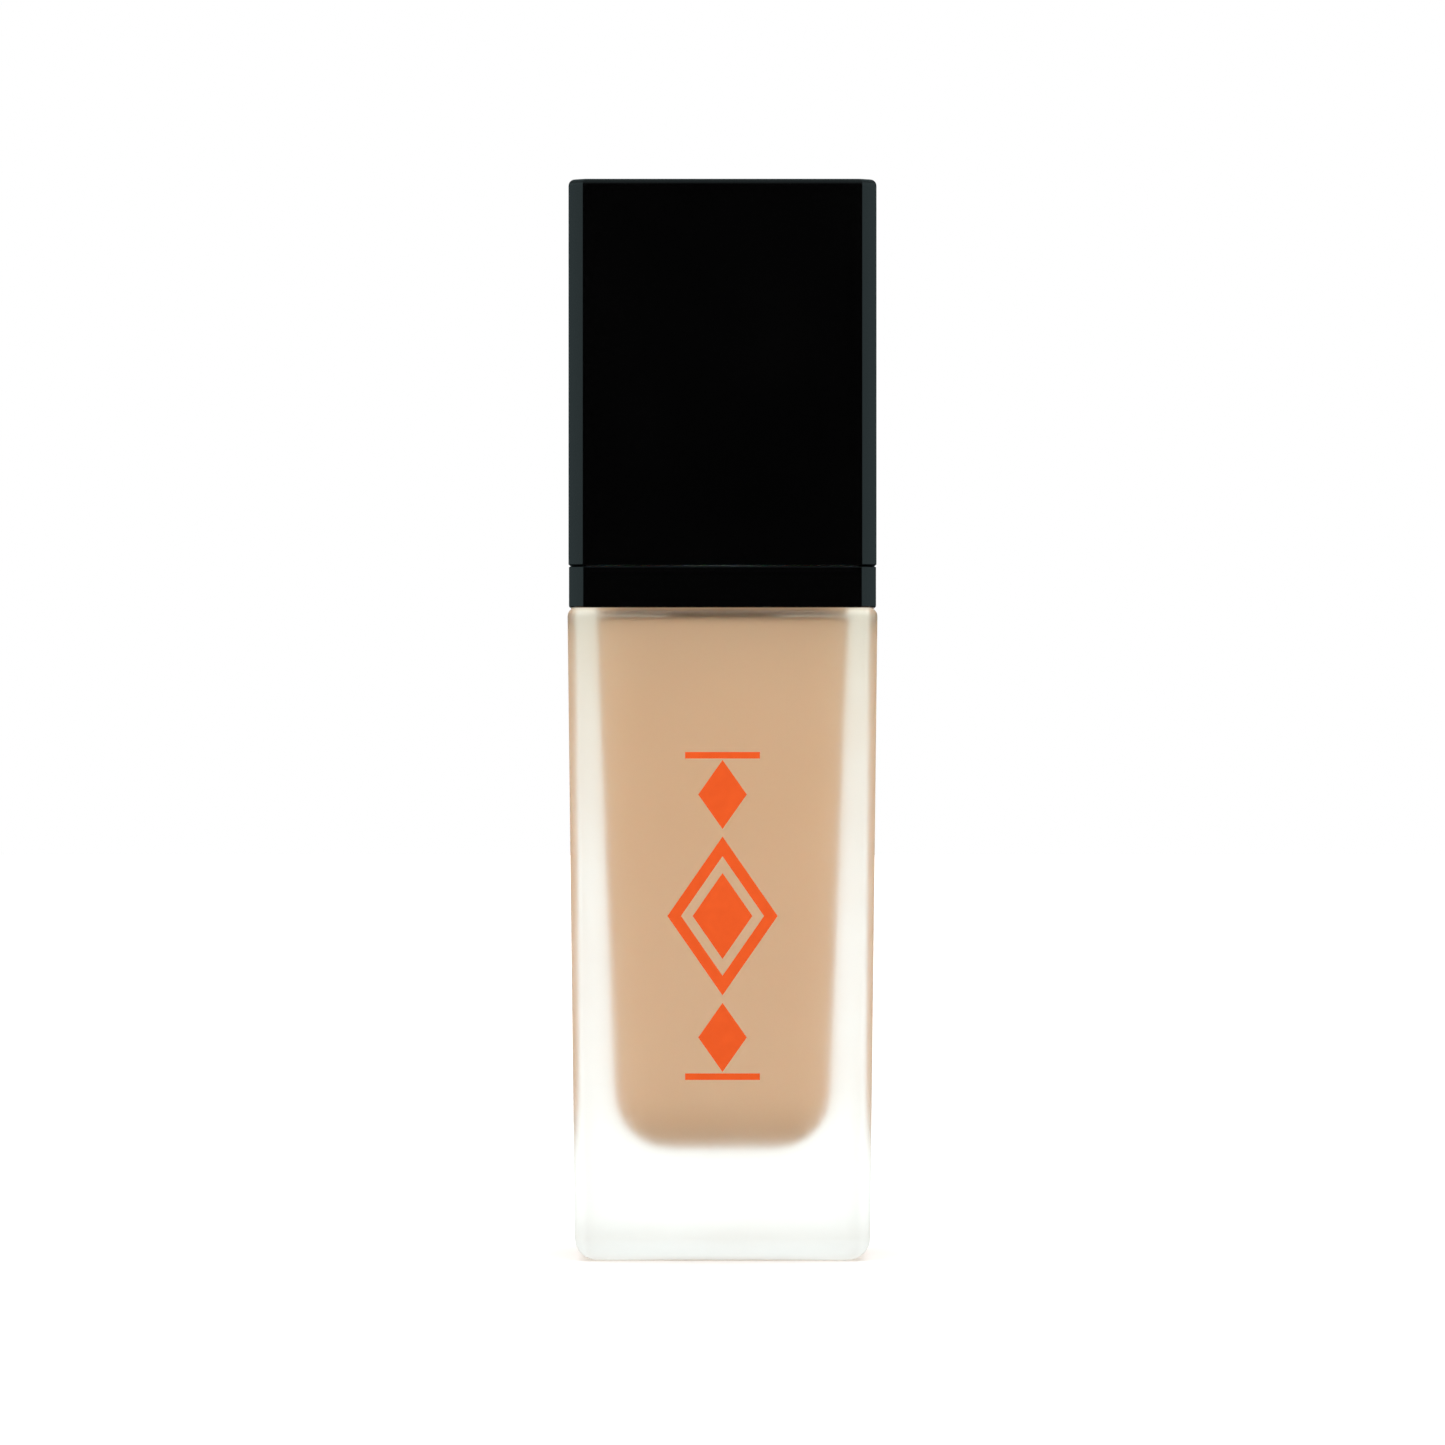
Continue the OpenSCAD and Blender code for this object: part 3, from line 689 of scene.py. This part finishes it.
def overcap_liner():
    """Round inner cap, with grip ribs at its mouth and fins out to the corners of the shell."""
    low, high = bottom("overcap_liner"), top("overcap_liner")
    shell_half = reach("overcap_shell") - CAP_WALL
    clear, wall = 0.1 * MM, 1.1 * MM
    out_r = shell_half - clear
    bore_r = out_r - wall
    fin_out = (2 * shell_half - CAP_INNER_CUT) / math.sqrt(2) - clear
    fin_low, fin_high = low + 2.15 * MM, high - clear
    grips, grip_in, grip_t = 12, 13.6 * MM, 0.7 * MM
    grip_low, grip_high = low + 0.4 * MM, top("shoulder_collar") - 0.8 * MM
    cup = loft(lathe_rings([
        (0, high, 0), (out_r, high, 0.4 * MM), (out_r, low, 0.2 * MM), (bore_r, low, 0.3 * MM),
        (bore_r, high - wall, 0.8 * MM), (0, high - wall, 0),
    ]))
    fins = corner_ribs(out_r - RIB_ROOT, fin_out, fin_low, fin_high)
    grip_ribs = [
        rib(grip_in, bore_r + RIB_ROOT, grip_t, grip_low, grip_high, 2 * math.pi * (i + 0.5) / grips)
        for i in range(grips)
    ]
    part = together(cup, *fins, *grip_ribs)
    return piece("inner_cap", part, "overcap", NATURAL_PP, "overcap_liner")


# ---------------------------------------------------------------- closure

def pump_closure():
    """Screw cap with a thread in its bore and a hole in its top for the pump."""
    low, high, out_r = bottom("pump_closure"), top("pump_closure"), reach("pump_closure")
    bore_r, hole_r, plate = 10.05 * MM, 5.7 * MM, high - 1.4 * MM
    crest_r, thread_start, run_out = 8.95 * MM, SHOULDER + 5.3 * MM, 1.1 * MM
    root_half, crest_half = 0.8 * MM, 0.3 * MM
    thread_low = thread_start - run_out
    thread_high = thread_start + THREAD_TURNS * THREAD_PITCH + run_out
    rings = lathe_rings([
        (bore_r, plate - 2 * MM, 0), (bore_r, plate, 0.3 * MM), (hole_r, plate, 0.2 * MM),
        (hole_r, high, 0.2 * MM), (out_r, high, 0.5 * MM), (out_r, low, 0.2 * MM), (bore_r, low, 0.3 * MM),
        (bore_r, thread_low - 0.1 * MM, 0),
    ])
    rings += threaded_rings(thread_low, thread_high, bore_r, crest_r, thread_start, root_half, crest_half)
    part = loft(rings, closed=True)
    return piece("screw_closure", part, "closure", NATURAL_PP, "pump_closure")


def closure_sleeve():
    """Dark cover over the closure, open round the pump."""
    low, high, out_r = bottom("closure_sleeve"), top("closure_sleeve"), reach("closure_sleeve")
    clear = 0.01 * MM
    in_r, roof = reach("pump_closure") + clear, top("pump_closure") + clear
    hole_r = 7.2 * MM
    part = loft(lathe_rings([
        (out_r, low, 0.25 * MM), (out_r, high, 0.5 * MM), (hole_r, high, 0.15 * MM),
        (hole_r, roof, 0.08 * MM), (in_r, roof, 0.4 * MM), (in_r, low, 0.15 * MM),
    ], closed=True), closed=True)
    return piece("dark_sleeve", part, "closure", GLOSS_BLACK, "closure_sleeve")


# ---------------------------------------------------------------- pump

def turned_ring(name, corners, body, material, node):
    """A turned piece with a hole right through it."""
    return piece(name, loft(lathe_rings(corners, closed=True), closed=True), body, material, node)


def neck_gasket():
    """Soft washer between the neck and the pump's flange."""
    low, high, out_r = bottom("neck_gasket"), top("neck_gasket"), reach("neck_gasket")
    edge, bore_r = 0.2 * MM, 5 * MM
    corners = [(out_r, low, edge), (out_r, high, edge), (bore_r, high, edge), (bore_r, low, edge)]
    return turned_ring("sealing_gasket", corners, "pump", SOFT_PE, "neck_gasket")


def stem_guide():
    """Plug in the housing's mouth, with a collar that the closure holds down and a nose round the stem."""
    low, high, collar_r = bottom("stem_guide"), top("stem_guide"), reach("stem_guide")
    plug_r, nose_r, bore_r = 4.38 * MM, 5.2 * MM, 2.68 * MM
    seat = top("pump_housing") + 0.05 * MM
    collar_t = 1 * MM
    collar_top = seat + collar_t
    corners = [
        (plug_r, low, 0.3 * MM), (plug_r, seat, 0.1 * MM), (collar_r, seat, 0.2 * MM),
        (collar_r, collar_top, 0.3 * MM), (nose_r, collar_top, 0.25 * MM), (nose_r, high, 0.5 * MM),
        (bore_r, high, 0.3 * MM), (bore_r, low, 0.2 * MM),
    ]
    return turned_ring("guide_plug", corners, "pump", WHITE_PP, "stem_guide")


def pump_stem():
    """Hollow stem that carries the liquid up to the head."""
    low, high, out_r = bottom("pump_stem"), top("pump_stem"), reach("pump_stem")
    edge, bore_r = 0.25 * MM, 1.5 * MM
    corners = [(out_r, low, edge), (out_r, high, edge), (bore_r, high, edge), (bore_r, low, edge)]
    return turned_ring("hollow_stem", corners, "stem", WHITE_PP, "pump_stem")


def piston():
    """Piston with a lip at each end, and a groove behind the lower one."""
    low, high, out_r = bottom("piston"), top("piston"), reach("piston")
    bore_r, waist = 1.75 * MM, out_r - 0.35 * MM
    lip, neck = 0.9 * MM, 1.3            # height of a lip, and of a lip with its neck in units of it
    groove_in, groove_out = 2.95 * MM, 3.4 * MM
    corners = [
        (out_r, low, 0.15 * MM), (out_r, low + lip, 0.25 * MM), (waist, low + neck * lip, 0.2 * MM),
        (waist, high - neck * lip, 0.2 * MM), (out_r, high - lip, 0.25 * MM), (out_r, high, 0.2 * MM),
        (bore_r, high, 0.15 * MM), (bore_r, low, 0.15 * MM), (groove_in, low, 0.1 * MM),
        (groove_in, low + lip, 0.15 * MM), (groove_out, low + lip, 0.15 * MM), (groove_out, low, 0.1 * MM),
    ]
    return turned_ring("lipped_piston", corners, "piston", SOFT_PE, "piston")


def dip_tube():
    """Thin tube whose foot is cut on the slant."""
    low, high, out_r = bottom("dip_tube"), top("dip_tube"), reach("dip_tube")
    slant = math.tan(math.radians(30))
    slant_h = 3 * MM                     # height over which the slant of the foot dies out
    edge, bore_r = 0.1 * MM, 0.95 * MM
    corners = [(out_r, low, edge), (out_r, high, edge), (bore_r, high, edge), (bore_r, low, edge)]
    tube = loft(lathe_rings(corners, closed=True), closed=True)

    def slanted(x, y, z):
        share = max(0, 1 - (z - low) / slant_h)
        return x, y, z + max(0, x) * slant * share

    return piece("suction_tube", placed(tube, slanted), "pump", CLEAR_PE, "dip_tube")


def return_spring():
    """Compression spring with closed, flattened end coils, built at its rest length on a mesh of its own."""
    low, high, out_r = bottom("return_spring"), top("return_spring"), reach("return_spring")
    wire_r, turns = 0.3 * MM, 8
    end_rise = 0.62 * MM                 # how far the wire climbs in each end coil
    mean_r = out_r - wire_r
    rise = high - low - 2 * wire_r
    steps_per_turn, wire_steps = 48, 12
    rings = []
    for step in range(steps_per_turn * turns + 1):
        turn = step / steps_per_turn
        if turn < 1:
            height = end_rise * turn
        elif turn > turns - 1:
            height = rise - end_rise * (turns - turn)
        else:
            height = end_rise + (rise - 2 * end_rise) * (turn - 1) / (turns - 2)
        angle = 2 * math.pi * turn
        around = []
        for w in range(wire_steps):
            a = 2 * math.pi * w / wire_steps
            r = mean_r - wire_r * math.cos(a)
            z = low + wire_r + height + wire_r * math.sin(a)
            around.append((r * math.cos(angle), r * math.sin(angle), z))
        rings.append(around)
    ends = [[(mean_r, 0, low + wire_r)], [(mean_r, 0, high - wire_r)]]
    part = loft([ends[0], *rings, ends[1]])
    material = steel("spring_steel", 0.16, 0.3, 0.25 * MM, (1, 1, 0.3))
    made = piece("coil_spring", part, "pump", material, "return_spring")
    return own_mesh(made)


def inlet_ball():
    """Steel ball of the inlet valve."""
    low, high = bottom("inlet_ball"), top("inlet_ball")
    radius, middle = (high - low) / 2, (high + low) / 2
    rows = 32
    rings = [[(0, 0, middle - radius)]]
    for row in range(1, rows):
        a = math.pi * (row / rows - 0.5)
        rings.append(ring(circle(radius * math.cos(a)), middle + radius * math.sin(a)))
    rings.append([(0, 0, middle + radius)])
    material = steel("ball_steel", 0.05, 0.12, 0.4 * MM, (1, 1, 1))
    return piece("check_ball", loft(rings), "ball", material, "inlet_ball")


# ---------------------------------------------------------------- actuator

HEAD_LOW = bottom("actuator_head")
HEAD_TOP = top("actuator_head")
HEAD_LOW_R = reach("actuator_head")
HEAD_TOP_R = HEAD_LOW_R - 0.3 * MM
HEAD_EDGE_R = 1.2 * MM
SPOUT_Z = HEAD_TOP - 4 * MM
SPOUT_REACH = -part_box("actuator_head")[0].y
SPOUT_TIP_R = 2.1 * MM
SPOUT_TAPER = 1.1 / 12            # how much the spout's radius shrinks for each unit of its length


def head_radius(z):
    """Radius of the head's outside at a height."""
    straight_r = HEAD_LOW_R + (HEAD_TOP_R - HEAD_LOW_R) * (z - HEAD_LOW) / (HEAD_TOP - HEAD_LOW)
    over = max(0, min(1, (z - HEAD_TOP + HEAD_EDGE_R) / HEAD_EDGE_R))
    return straight_r - HEAD_EDGE_R * (1 - math.sqrt(1 - over * over))


def spout():
    """Tapered spout along -Y, which starts inside the head as a stub and flares out of its wall."""
    flare, flare_steps = 0.9 * MM, 8
    wall = 7.5 * MM
    flare_end = wall + flare + 0.7 * MM
    root_r = SPOUT_TIP_R + SPOUT_TAPER * (SPOUT_REACH - wall)
    stub_r, pocket_r, bore_r = 1.9 * MM, 1.5 * MM, 0.9 * MM
    stub_start, stub_end, bore_end = 3 * MM, 6.8 * MM, 4 * MM
    pocket = SPOUT_REACH - 1.8 * MM
    sunk, proud = -0.12 * MM, 0.004 * MM      # where the flare starts under the head's skin, and over it

    def straight_ring(radius, distance):
        return [(x, -distance, SPOUT_Z + z) for x, z in circle(radius)]

    def on_head(radius, out):
        around = []
        for x, z in circle(radius):
            r = head_radius(SPOUT_Z + z)
            around.append((x, -math.sqrt(r * r - x * x) - out, SPOUT_Z + z))
        return around

    rings = [[(0, -stub_start, SPOUT_Z)], straight_ring(stub_r, stub_start), straight_ring(stub_r, stub_end)]
    rings.append(on_head(root_r + flare, sunk))
    for s in range(flare_steps + 1):
        a = math.pi / 2 * s / flare_steps
        rings.append(on_head(root_r + flare * (1 - math.sin(a)), flare * (1 - math.cos(a)) + proud))
    tip = rounded([
        (root_r - SPOUT_TAPER * (flare_end - wall), flare_end, 0), (SPOUT_TIP_R, SPOUT_REACH, 0.25 * MM),
        (pocket_r, SPOUT_REACH, 0.12 * MM), (pocket_r, pocket, 0.15 * MM),
        (bore_r, pocket, 0.1 * MM), (bore_r, bore_end, 0),
    ])
    rings += [straight_ring(radius, distance) for radius, distance in tip]
    rings.append([(0, -bore_end, SPOUT_Z)])
    return loft(rings)


def actuator_head():
    """Round head with a dished top, a skirt, and a hub that is pressed over the stem."""
    dish, rim_r = 0.8 * MM, HEAD_TOP_R - HEAD_EDGE_R
    dish_steps, edge_steps = 10, 8
    side_top = HEAD_TOP - HEAD_EDGE_R - 0.5 * MM
    skirt_r, roof = HEAD_TOP_R - 1.1 * MM, HEAD_TOP - 2.2 * MM
    hub_r, hub_low = 3.9 * MM, top("stem_guide") + 4.7 * MM
    socket_r, socket_top = reach("pump_stem") + 0.02 * MM, top("pump_stem") + 0.05 * MM
    passage_r = 1 * MM
    hollow = [
        (rim_r * s / dish_steps, HEAD_TOP - dish * (1 - (s / dish_steps) ** 2), 0) for s in range(dish_steps)
    ]
    edge_angles = [math.pi / 2 * (1 - s / edge_steps) for s in range(edge_steps + 1)]
    edge_heights = [HEAD_TOP - HEAD_EDGE_R * (1 - math.sin(a)) for a in edge_angles]
    edge = [(head_radius(z), z, 0) for z in edge_heights]
    lower = [
        (head_radius(side_top), side_top, 0), (HEAD_LOW_R, HEAD_LOW, 0.3 * MM),
        (skirt_r, HEAD_LOW, 0.3 * MM), (skirt_r, roof, 0.4 * MM), (hub_r, roof, 0.4 * MM),
        (hub_r, hub_low, 0.3 * MM), (socket_r, hub_low, 0.3 * MM), (socket_r, socket_top, 0.1 * MM),
        (passage_r, socket_top, 0.1 * MM), (passage_r, SPOUT_Z, 0.1 * MM), (0, SPOUT_Z, 0),
    ]
    part = together(loft(lathe_rings(hollow + edge + lower)), spout())
    return piece("press_head", part, "actuator", GLOSS_BLACK, "actuator_head")


def nozzle_insert():
    """Orifice in the end of the spout, turned about the spout's axis."""
    front = -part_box("nozzle_insert")[0].y
    back = SPOUT_REACH - 1.75 * MM
    plug_r, lip_r, orifice_r, funnel = 1.49 * MM, 1.85 * MM, 0.5 * MM, 0.35 * MM
    corners = [
        (plug_r, back, 0.15 * MM), (plug_r, SPOUT_REACH, 0.03 * MM), (lip_r, SPOUT_REACH, 0.05 * MM),
        (lip_r, front, 0.2 * MM), (orifice_r + funnel, front, 0.08 * MM),
        (orifice_r, front - funnel, 0.08 * MM), (orifice_r, back, 0.1 * MM),
    ]
    upright = loft(lathe_rings(corners, closed=True), closed=True)
    part = placed(upright, lambda x, y, z: (x, -z, SPOUT_Z + y))
    return piece("spout_nozzle", part, "actuator", SATIN_BLACK, "nozzle_insert")


# ---------------------------------------------------------------- CAD nodes that stay

def dress(node, material, edge=0.0):
    """Gives a CAD node its material and, where it has sharp rims, small bevels."""
    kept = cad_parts[node]
    kept.data.materials.clear()
    kept.data.materials.append(material)
    weld = kept.modifiers.new("weld", "WELD")
    weld.merge_threshold = 0.001 * MM
    if edge:
        bevel = kept.modifiers.new("bevel", "BEVEL")
        bevel.width = edge
        bevel.segments = 2
        bevel.limit_method = "ANGLE"
        bevel.angle_limit = math.radians(40)
        bevel.use_clamp_overlap = True
    return kept


def front_print():
    """Print on the glass. It stays out of the light in the glass, so that no halo shows round it."""
    kept = dress("front_print", orange_ink())
    kept.visible_shadow = False
    kept.visible_diffuse = False
    kept.visible_transmission = False


glass_bottle()
foundation_fill()
shoulder_collar()
overcap_shell()
overcap_liner()
pump_closure()
closure_sleeve()
neck_gasket()
stem_guide()
pump_stem()
piston()
dip_tube()
return_spring()
inlet_ball()
actuator_head()
nozzle_insert()
front_print()
dress("base_label", label_paper())
dress("pump_housing", NATURAL_PP, 0.08 * MM)
dress("piston_rod", WHITE_PP, 0.08 * MM)


# ---------------------------------------------------------------- studio

def studio_floor():
    """Round floor that the bottle stands on. The glossy pieces don't mirror it."""
    points, faces = loft([[(0, 0, 0)], *(ring(circle(radius), 0) for radius in (0.3, 1.2, 3.0))])
    mesh = bpy.data.meshes.new("studio_floor")
    mesh.from_pydata(points, [], [tuple(reversed(f)) for f in faces])
    mesh.materials.append(floor_paper())
    floor = bpy.data.objects.new("studio_floor", mesh)
    bpy.context.scene.collection.objects.link(floor)
    floor.visible_glossy = False


def studio_world():
    """A white room. Glossy pieces mirror a dimmer, cooler one. Both are dark right in front of the bottle."""
    world = bpy.data.worlds.new("studio")
    bpy.context.scene.world = world
    world.use_nodes = True
    nodes, links = world.node_tree.nodes, world.node_tree.links
    background = nodes["Background"]

    def maths(operation, *values):
        """The result of a sum on values, each of which is a number or a socket."""
        node = nodes.new("ShaderNodeMath")
        node.operation = operation
        for socket, value in zip(node.inputs, values):
            if isinstance(value, (int, float)):
                socket.default_value = value
            else:
                links.new(value, socket)
        return node.outputs[0]

    def smooth(value, near, far, low, high):
        """A level that goes softly from low to high as a value goes from near to far."""
        node = nodes.new("ShaderNodeMapRange")
        node.interpolation_type = "SMOOTHSTEP"
        for name, number in zip(("From Min", "From Max", "To Min", "To Max"), (near, far, low, high)):
            node.inputs[name].default_value = number
        links.new(value, node.inputs["Value"])
        return node.outputs["Result"]

    def chosen(share, first, second):
        """A colour that goes from first to second. A number stands for a grey."""
        node = nodes.new("ShaderNodeMix")
        node.data_type = "RGBA"
        links.new(share, node.inputs["Factor"])
        for socket, value in zip([i for i in node.inputs if i.type == "RGBA"], (first, second)):
            if isinstance(value, tuple):
                socket.default_value = (*value, 1)
            else:
                links.new(value, socket)
        return [o for o in node.outputs if o.type == "RGBA"][0]

    direction = nodes.new("ShaderNodeSeparateXYZ")
    links.new(nodes.new("ShaderNodeTexCoord").outputs["Generated"], direction.inputs[0])
    right, back, upward = (direction.outputs[axis] for axis in "XYZ")
    path = nodes.new("ShaderNodeLightPath")
    seen = maths("MAXIMUM", path.outputs["Is Camera Ray"], path.outputs["Is Transmission Ray"])
    glossy = path.outputs["Is Glossy Ray"]
    gap = smooth(maths("MULTIPLY", back, -1), 0.6, 0.9, 1.0, 0.0)

    ceiling = smooth(upward, 0.2, 0.85, 0.42, 1.9)
    back_wall = smooth(back, 0.3, 0.9, 0.0, 0.5)
    lit = maths("MULTIPLY", maths("ADD", ceiling, back_wall), gap)

    side_boxes = smooth(maths("ABSOLUTE", right), 0.7, 0.95, 0.1, 0.6)
    ground = smooth(upward, -0.7, -0.2, 0.2, 1.0)
    top_box = smooth(upward, 0.25, 0.6, 0.0, 0.16)
    mirrored = maths("MULTIPLY", maths("ADD", maths("MULTIPLY", side_boxes, ground), top_box), gap)

    white, cool = (1, 1, 1), (0.72, 1.0, 1.04)
    level = chosen(glossy, lit, mirrored)
    tint = chosen(glossy, white, cool)
    links.new(chosen(seen, tint, white), background.inputs["Color"])
    links.new(maths("MAXIMUM", level, seen), background.inputs["Strength"])


def soft_light(name, place, aim, size, power):
    """A softbox that lights without showing in the glossy pieces."""
    lamp = bpy.data.lights.new(name, "AREA")
    lamp.shape = "RECTANGLE"
    lamp.size, lamp.size_y = size
    lamp.energy = power
    light = bpy.data.objects.new(name, lamp)
    light.location = place
    light.rotation_euler = (Vector(aim) - Vector(place)).to_track_quat("-Z", "Y").to_euler()
    light.visible_camera = False
    light.visible_glossy = False
    light.visible_transmission = False
    bpy.context.scene.collection.objects.link(light)


def camera():
    """A long lens straight in front, whose view is view_width wide at the bottle's front face."""
    distance, height, view_width, front_face = 1.0, 57.7 * MM, 154.8 * MM, 15 * MM
    lens = bpy.data.cameras.new("camera")
    lens.sensor_width = 36
    lens.lens = lens.sensor_width * (distance - front_face) / view_width
    lens.clip_start, lens.clip_end = 0.05, 20
    seen = bpy.data.objects.new("camera", lens)
    seen.location = (0, -distance, height)
    seen.rotation_euler = (math.radians(90), 0, 0)
    bpy.context.scene.collection.objects.link(seen)
    bpy.context.scene.camera = seen


studio_floor()
studio_world()
middle = (0, 0, cad_box[1].z / 2)
for name, side in (("front_left", -1), ("front_right", 1)):
    soft_light(name, (side * 0.5, -0.7, 0.35), middle, size=(0.5, 0.6), power=0.6)
camera()
bpy.context.scene.view_settings.view_transform = "Standard"
